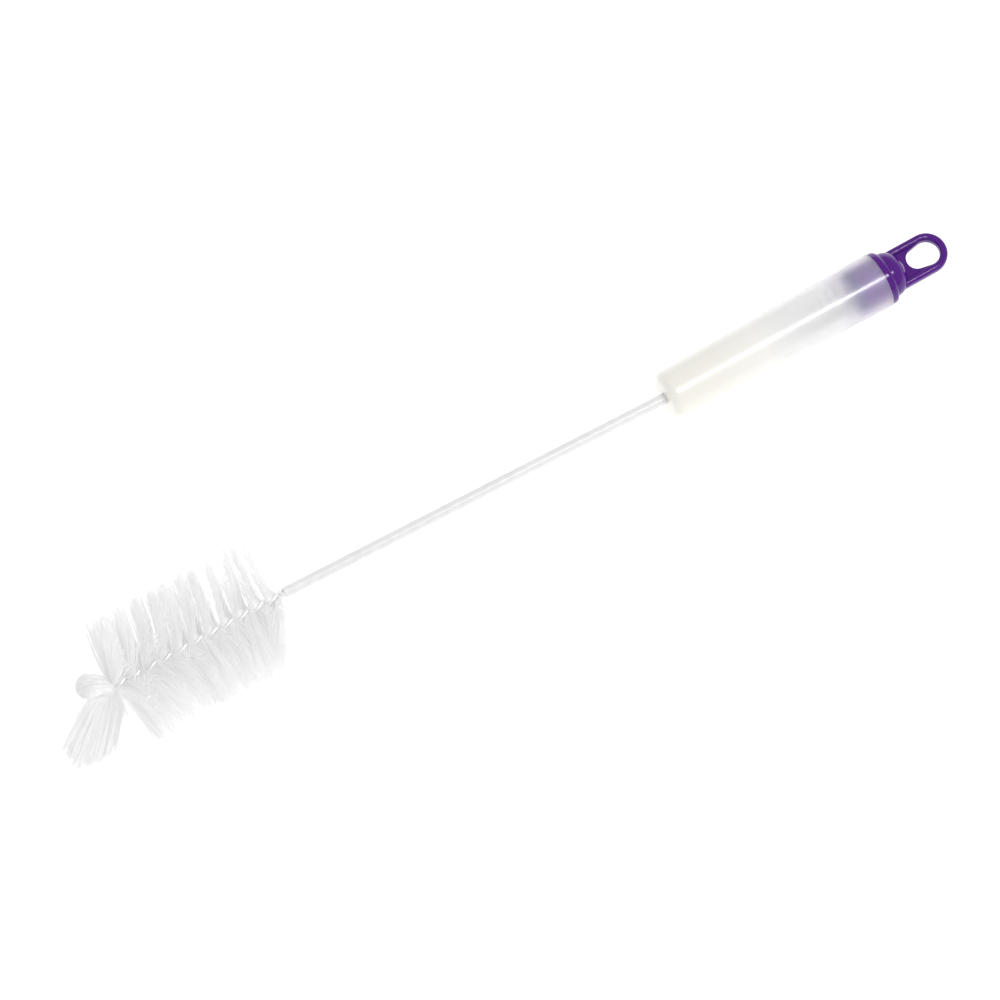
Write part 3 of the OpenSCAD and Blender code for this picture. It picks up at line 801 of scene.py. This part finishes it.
def fannedHalf(rng, t, eye, axis, inEye):
    count, clumps = len(inEye), tuft["clumps"]
    downAim = unitRows(np.array(tuft["downAim"]))
    fanSide = unitRows(np.array(tuft["fanSide"]))
    fanFlat = unitRows(np.cross(downAim, fanSide))
    clump = rng.integers(0, clumps, count)
    clumpAt = (np.arange(clumps) + 0.5) / clumps * 2 - 1
    clumpAt = clumpAt + rng.normal(0, tuft["clumpOff"], clumps)
    clumpLong = 1 + tuft["fanRound"] * np.cos(clumpAt * tuft["fanRoundWide"]) \
        + rng.normal(0, tuft["clumpUneven"], clumps)
    across = clumpAt[clump] + rng.normal(0, tuft["hairOff"], count)
    flat = rng.normal(0, tuft["flatOff"], count)
    long = tuft["downLength"] * clumpLong[clump] * (1 - tuft["uneven"] * rng.random(count) ** 2)
    paths = np.zeros((count, len(t), 3))
    for k, tk in enumerate(t):
        middle = (tk * tk + tuft["downStraight"] * tk * (1 - tk)) * downAim \
            - 2 * tk * (1 - tk) * tuft["bow"] * axis
        middle = middle - tuft["fanBow"] / long.mean() * tk * (1 - tk) * fanSide
        opened = tuft["fanOpen"] * (1 - (1 - tk) ** tuft["fanSoon"]) + (1 - tuft["fanOpen"]) * tk
        wide = (across * (tuft["fan"] / 2) * opened)[:, None] * fanSide
        thick = (flat * (tuft["fanThick"] / 2) * opened)[:, None] * fanFlat
        paths[:, k] = eye + long[:, None] * middle + inEye * tuft["neck"] * (1 - tk) + wide + thick
    return paths


def growTuft():
    rng = np.random.default_rng(tuft["seed"])
    t = np.linspace(0, 1, tuft["steps"] + 1)
    tilt = math.radians(tuft["axis"])
    axis = np.array([0, math.cos(tilt), math.sin(tilt)])
    eye = np.array(tuft["eye"])
    edge = np.sqrt(rng.random(tuft["filaments"]))   # 0 in the bundle's middle, 1 at its skin
    way = rng.random(tuft["filaments"]) * 2 * math.pi
    across = edge * np.cos(way), edge * np.sin(way)
    wireWay = np.array([1.0, 0, 0])
    inEye = across[0][:, None] * wireWay + across[1][:, None] * np.cross(axis, wireWay)
    compact = compactHalf(t, eye, axis, across, inEye, edge)
    fanned = fannedHalf(rng, t, eye, axis, inEye)
    paths = pressToFloor(np.concatenate([compact, fanned]), headPlace)
    tone = hairTones(rng, len(paths), tuft["toneBlur"])
    blank = filamentBlank(tuft["steps"])
    return growFilaments("tuft_filaments", blank, paths, tuft["thick"], tone, tuftNylon)


carryBy(growTuft(), headPlace, "brush", "tuft", "end_tuft")
print("end tuft grown")


# ---- the small brush ----

small = {
    "seed": 23,
    "start": 29.3, "end": 80.3, "pitch": 7.6, "lead": 2.0, "first": 90.0,
    "filaments": 1500,           # each gives two hairs
    "thick": 0.15, "steps": 3,
    "tip": 3.5, "root": 7.25,    # length of a hair at both ends of the cone
    "uneven": 0.1,
    "spread": 5.0, "lean": 3.5,  # degrees
    "toneBlur": 0.22,
}


def growSmallBrush():
    rng = np.random.default_rng(small["seed"])
    share = np.sort(rng.random(small["filaments"]))
    flip = np.repeat([0.0, math.pi], len(share))
    share = np.concatenate([share, share])
    count = len(share)
    x = small["start"] + share * (small["end"] - small["start"])
    a = np.array([twistAngle(v - small["start"], small["pitch"], small["lead"]) for v in x])
    a = a + math.radians(small["first"]) + flip + np.radians(rng.normal(0, small["spread"], count))
    long = small["tip"] + (small["root"] - small["tip"]) * share
    long = long * (1 - small["uneven"] * rng.random(count))
    lean = np.radians(rng.normal(0, small["lean"], count))
    out = np.stack([np.zeros(count), np.cos(a), np.sin(a)], 1)
    along = np.array([1.0, 0, 0])
    root = np.stack([x, np.zeros(count), np.zeros(count)], 1)
    t = np.linspace(0, 1, small["steps"] + 1)
    paths = np.zeros((count, len(t), 3))
    for k, tk in enumerate(t):
        paths[:, k] = root + out * (long * tk)[:, None] + along * (np.tan(lean) * long * tk)[:, None]
    tone = hairTones(rng, count, small["toneBlur"])
    blank = filamentBlank(small["steps"])
    return growFilaments("small_filaments", blank, paths, small["thick"], tone, smallNylon)


carryBy(growSmallBrush(), handlePlace, "small_brush", "small_bristles", "small_brush_bristles")
print("small brush grown")


# ---- handle and cap, whose solids keep their shape ----

for nodeName, finish, slotName in (("handle_tube", handlePlastic, "handle"), ("cap", capPlastic, "cap")):
    nodes[nodeName].material_slots[0].material = finish
print("handle and cap finished")
